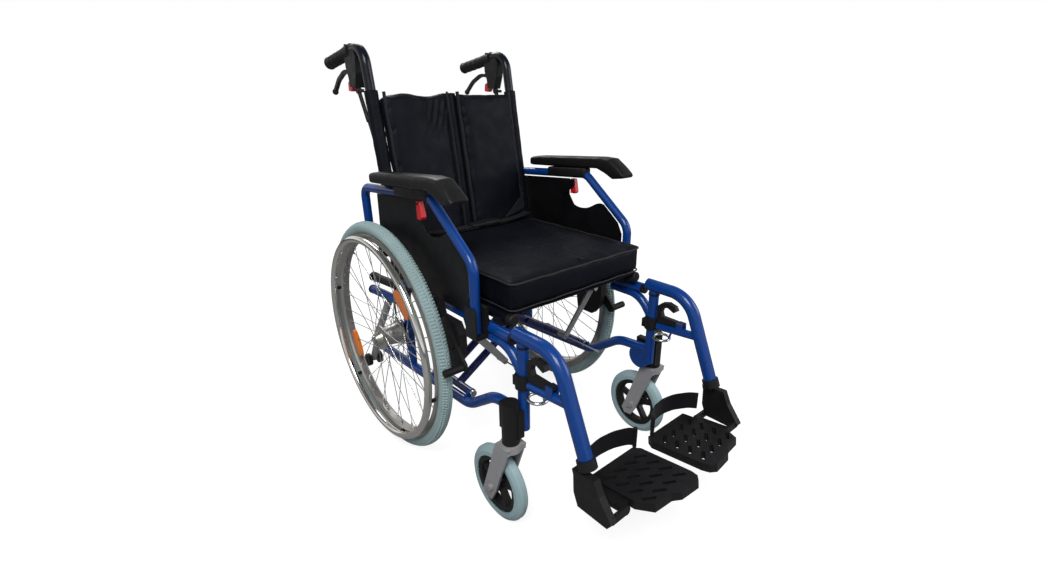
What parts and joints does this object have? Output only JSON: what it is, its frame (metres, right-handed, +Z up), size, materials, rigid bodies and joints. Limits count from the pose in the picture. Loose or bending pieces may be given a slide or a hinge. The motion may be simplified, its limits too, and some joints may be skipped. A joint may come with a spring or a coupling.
{
  "type": "manual wheelchair",
  "caption": "Folding manual wheelchair: cross-braced tube frame, spoked rear wheels with handrims, front castors, swing-away footrests, flip-back armrests and attendant brakes",
  "frame": {"origin": "on the floor, under the middle of the chair's bounding box", "axes": "+Z up, the chair faces -Y, +X is the sitter's left"},
  "size_m": [0.638, 1.1202, 1.0195],
  "materials": {
    "blue_paint": "deep glossy cobalt blue powder coat over steel tube",
    "dark_paint": "gloss blue-black powder coat",
    "grey_paint": "grey silk powder coat",
    "silver_metal": "satin silver",
    "bright_steel": "bright plated steel",
    "polished_rim": "polished ring with black stand-offs",
    "black_plastic": "satin black nylon",
    "soft_grip": "ribbed black soft grip",
    "red_plastic": "red lever plastic",
    "cable_jacket": "smooth black cable jacket",
    "arm_pad": "grained black polyurethane foam skin",
    "grey_rubber": "light bluish grey non-marking rubber",
    "webbing": "woven black webbing",
    "black_fabric": "black satin nylon with fine weave"
  },
  "bodies": {
    "left_frame": {"left_side_frame": "blue_paint", "left_frame_fittings": "black_plastic", "left_axles": "bright_steel", "left_anti_tip_arm": "grey_paint", "left_back_tube": "dark_paint", "left_hand_grip": "soft_grip", "left_brake_handle": "black_plastic", "left_brake_cable": "cable_jacket", "seat_sling": "black_fabric", "seat_cushion": "black_fabric", "backrest": "black_fabric", "lap_belt": "webbing"},
    "left_rear_wheel": {"left_rear_tyre": "grey_rubber", "left_rear_rim": "silver_metal", "left_hub_and_spokes": "bright_steel", "left_handrim": "polished_rim"},
    "left_castor_swivel": {"left_castor_fork": "silver_metal"},
    "left_castor_roller": {"left_castor_wheel": "grey_rubber"},
    "left_swing_hanger": {"left_hanger": "blue_paint", "left_footplate_bracket": "black_plastic", "left_heel_strap": "webbing"},
    "left_latch_hook": {"left_hanger_latch": "black_plastic"},
    "left_foot_support": {"left_footplate": "black_plastic"},
    "left_armrest": {"left_armrest_hoop": "blue_paint", "left_armrest_pad": "arm_pad", "left_side_panel": "black_plastic"},
    "left_catch_lever": {"left_armrest_catch": "red_plastic"},
    "left_attendant_lever": {"left_brake_lever": "black_plastic"},
    "left_lock_tab": {"left_lever_lock": "red_plastic"},
    "left_parking_brake": {"left_parking_brake_lever": "black_plastic"},
    "left_link": {"left_fold_link": "grey_paint"},
    "right_frame": {"right_side_frame": "blue_paint", "right_frame_fittings": "black_plastic", "right_axles": "bright_steel", "right_anti_tip_arm": "grey_paint", "right_back_tube": "dark_paint", "right_hand_grip": "soft_grip", "right_brake_handle": "black_plastic", "right_brake_cable": "cable_jacket"},
    "right_rear_wheel": {"right_rear_tyre": "grey_rubber", "right_rear_rim": "silver_metal", "right_hub_and_spokes": "bright_steel", "right_handrim": "polished_rim"},
    "right_castor_swivel": {"right_castor_fork": "silver_metal"},
    "right_castor_roller": {"right_castor_wheel": "grey_rubber"},
    "right_swing_hanger": {"right_hanger": "blue_paint", "right_footplate_bracket": "black_plastic", "right_heel_strap": "webbing"},
    "right_latch_hook": {"right_hanger_latch": "black_plastic"},
    "right_foot_support": {"right_footplate": "black_plastic"},
    "right_armrest": {"right_armrest_hoop": "blue_paint", "right_armrest_pad": "arm_pad", "right_side_panel": "black_plastic"},
    "right_catch_lever": {"right_armrest_catch": "red_plastic"},
    "right_attendant_lever": {"right_brake_lever": "black_plastic"},
    "right_lock_tab": {"right_lever_lock": "red_plastic"},
    "right_parking_brake": {"right_parking_brake_lever": "black_plastic"},
    "right_link": {"right_fold_link": "grey_paint"},
    "brace_a": {"cross_brace_a": "grey_paint"},
    "brace_b": {"cross_brace_b": "grey_paint"}
  },
  "joints": [
    {"name": "fold", "type": "hinge", "parent": "left_frame", "child": "brace_a", "pos_m": [0.197, 0.0525, 0.222], "axis": [0, 1, 0], "range_deg": [0, 42], "deforming": ["seat_sling", "seat_cushion", "backrest", "lap_belt", "left_heel_strap", "right_heel_strap"]},
    {"name": "brace_centre_pin", "type": "hinge", "parent": "brace_a", "child": "brace_b", "pos_m": [0, 0.0455, 0.348], "axis": [0, 1, 0], "range_deg": [-84, 0]},
    {"name": "right_fold_pivot", "type": "hinge", "parent": "brace_b", "child": "right_frame", "pos_m": [-0.197, 0.0525, 0.222], "axis": [0, 1, 0], "range_deg": [0, 42]},
    {"name": "left_wheel_spin", "type": "hinge", "parent": "left_frame", "child": "left_rear_wheel", "pos_m": [0.279, 0.2405, 0.305], "axis": [1, 0, 0], "continuous": true},
    {"name": "left_castor_turn", "type": "hinge", "parent": "left_frame", "child": "left_castor_swivel", "pos_m": [0.244, -0.2395, 0.26], "axis": [0, 0, 1], "continuous": true},
    {"name": "left_castor_spin", "type": "hinge", "parent": "left_castor_swivel", "child": "left_castor_roller", "pos_m": [0.244, -0.1955, 0.09], "axis": [1, 0, 0], "continuous": true},
    {"name": "left_hanger_swing", "type": "hinge", "parent": "left_frame", "child": "left_swing_hanger", "pos_m": [0.213, -0.2465, 0.44], "axis": [0, 0, 1], "range_deg": [0, 90]},
    {"name": "left_latch_lift", "type": "hinge", "parent": "left_swing_hanger", "child": "left_latch_hook", "pos_m": [0.213, -0.3315, 0.38], "axis": [1, 0, 0], "range_deg": [0, 15]},
    {"name": "left_footplate_fold", "type": "hinge", "parent": "left_swing_hanger", "child": "left_foot_support", "pos_m": [0.18, -0.4595, 0.18], "axis": [0, 0.9903, -0.1392], "range_deg": [0, 90]},
    {"name": "left_armrest_flip", "type": "hinge", "parent": "left_frame", "child": "left_armrest", "pos_m": [0.241, 0.2805, 0.53], "axis": [1, 0, 0], "range_deg": [-70, 0]},
    {"name": "left_armrest_catch_turn", "type": "hinge", "parent": "left_armrest", "child": "left_catch_lever", "pos_m": [0.241, 0.0725, 0.679], "axis": [1, 0, 0], "range_deg": [-30, 0]},
    {"name": "left_attendant_brake", "type": "hinge", "parent": "left_frame", "child": "left_attendant_lever", "pos_m": [0.213, 0.4065, 0.95], "axis": [1, 0, 0], "range_deg": [0, 14], "stiffness_Nm_per_rad": 0.8},
    {"name": "left_lever_lock_turn", "type": "hinge", "parent": "left_frame", "child": "left_lock_tab", "pos_m": [0.213, 0.4035, 0.934], "axis": [1, 0, 0], "range_deg": [-25, 0]},
    {"name": "left_parking_brake_turn", "type": "hinge", "parent": "left_frame", "child": "left_parking_brake", "pos_m": [0.24, -0.0445, 0.372], "axis": [1, 0, 0], "range_deg": [-7, 10]},
    {"name": "left_link_swing", "type": "hinge", "parent": "left_frame", "child": "left_link", "pos_m": [0.205, -0.0445, 0.402], "axis": [0, 1, 0], "range_deg": [-40, 0]},
    {"name": "right_wheel_spin", "type": "hinge", "parent": "right_frame", "child": "right_rear_wheel", "pos_m": [-0.279, 0.2405, 0.305], "axis": [1, 0, 0], "continuous": true},
    {"name": "right_castor_turn", "type": "hinge", "parent": "right_frame", "child": "right_castor_swivel", "pos_m": [-0.244, -0.2395, 0.26], "axis": [0, 0, 1], "continuous": true},
    {"name": "right_castor_spin", "type": "hinge", "parent": "right_castor_swivel", "child": "right_castor_roller", "pos_m": [-0.244, -0.1955, 0.09], "axis": [1, 0, 0], "continuous": true},
    {"name": "right_hanger_swing", "type": "hinge", "parent": "right_frame", "child": "right_swing_hanger", "pos_m": [-0.213, -0.2465, 0.44], "axis": [0, 0, 1], "range_deg": [-90, 0]},
    {"name": "right_latch_lift", "type": "hinge", "parent": "right_swing_hanger", "child": "right_latch_hook", "pos_m": [-0.213, -0.3315, 0.38], "axis": [1, 0, 0], "range_deg": [0, 15]},
    {"name": "right_footplate_fold", "type": "hinge", "parent": "right_swing_hanger", "child": "right_foot_support", "pos_m": [-0.18, -0.4595, 0.18], "axis": [0, 0.9903, -0.1392], "range_deg": [-90, 0]},
    {"name": "right_armrest_flip", "type": "hinge", "parent": "right_frame", "child": "right_armrest", "pos_m": [-0.241, 0.2805, 0.53], "axis": [1, 0, 0], "range_deg": [-70, 0]},
    {"name": "right_armrest_catch_turn", "type": "hinge", "parent": "right_armrest", "child": "right_catch_lever", "pos_m": [-0.241, 0.0725, 0.679], "axis": [1, 0, 0], "range_deg": [-30, 0]},
    {"name": "right_attendant_brake", "type": "hinge", "parent": "right_frame", "child": "right_attendant_lever", "pos_m": [-0.213, 0.4065, 0.95], "axis": [1, 0, 0], "range_deg": [0, 14], "stiffness_Nm_per_rad": 0.8},
    {"name": "right_lever_lock_turn", "type": "hinge", "parent": "right_frame", "child": "right_lock_tab", "pos_m": [-0.213, 0.4035, 0.934], "axis": [1, 0, 0], "range_deg": [-25, 0]},
    {"name": "right_parking_brake_turn", "type": "hinge", "parent": "right_frame", "child": "right_parking_brake", "pos_m": [-0.24, -0.0445, 0.372], "axis": [1, 0, 0], "range_deg": [-7, 10]},
    {"name": "right_link_swing", "type": "hinge", "parent": "right_frame", "child": "right_link", "pos_m": [-0.205, -0.0445, 0.402], "axis": [0, 1, 0], "range_deg": [0, 40]}
  ],
  "couplings": [
    {"joint": "brace_centre_pin", "follows": "fold", "ratio": -2},
    {"joint": "right_fold_pivot", "follows": "fold", "ratio": 1},
    {"joint": "left_footplate_fold", "follows": "fold", "ratio": 2.1429},
    {"joint": "left_link_swing", "follows": "fold", "ratio": -0.74},
    {"joint": "right_footplate_fold", "follows": "fold", "ratio": -2.1429},
    {"joint": "right_link_swing", "follows": "fold", "ratio": 0.74}
  ]
}
